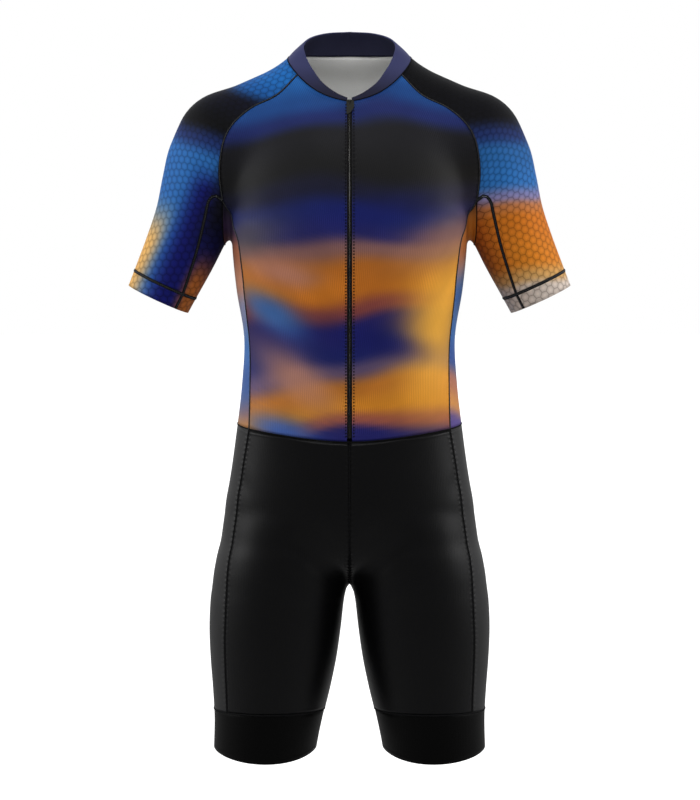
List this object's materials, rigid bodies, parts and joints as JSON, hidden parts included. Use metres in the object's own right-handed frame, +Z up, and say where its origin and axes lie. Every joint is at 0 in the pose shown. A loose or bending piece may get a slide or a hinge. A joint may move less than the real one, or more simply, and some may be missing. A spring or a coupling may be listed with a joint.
{
  "type": "triathlon suit",
  "caption": "One-piece short-sleeved race suit with a front zip, low stand collar, printed top and black shorts, filled out as when worn.",
  "frame": {"origin": "middle of the neck at the height of the shoulders, where the wearer's shoulders hold the suit", "axes": "+Z up, the front with the zip faces -Y, +X towards the wearer's left arm"},
  "size_m": [0.5992, 0.2366, 0.9857],
  "materials": {
    "printed_knit": "matt stretch knit, printed",
    "sleeve_knit": "matt stretch knit, printed with a honeycomb",
    "collar_knit": "satin stretch knit",
    "black_knit": "satin stretch knit",
    "grip_band": "satin stretch knit",
    "zip_tape": "woven tape",
    "zip_teeth": "nylon coil",
    "zip_metal": "dark enamel",
    "pull_tab": "moulded"
  },
  "bodies": {
    "suit": {"front_left": "printed_knit", "front_right": "printed_knit", "side_left": "printed_knit", "side_right": "printed_knit", "back": "printed_knit", "sleeve_left": "sleeve_knit", "sleeve_right": "sleeve_knit", "under_sleeve_left": "sleeve_knit", "under_sleeve_right": "sleeve_knit", "sleeve_hem_left": "sleeve_knit", "sleeve_hem_right": "sleeve_knit", "collar": "collar_knit", "shorts_front_left": "black_knit", "shorts_front_right": "black_knit", "shorts_side_left": "black_knit", "shorts_side_right": "black_knit", "shorts_back_left": "black_knit", "shorts_back_right": "black_knit", "leg_band_left": "grip_band", "leg_band_right": "grip_band", "zip_tape_left": "zip_tape", "zip_tape_right": "zip_tape", "zip_chain": "zip_teeth", "zip_slider": "zip_metal"},
    "pull": {"zip_pull": "pull_tab"}
  },
  "joints": [
    {"name": "pull_hinge", "type": "hinge", "parent": "suit", "child": "pull", "pos_m": [0, -0.06917, -0.0487], "axis": [-1, 0, 0], "range_deg": [0, 140]}
  ]
}
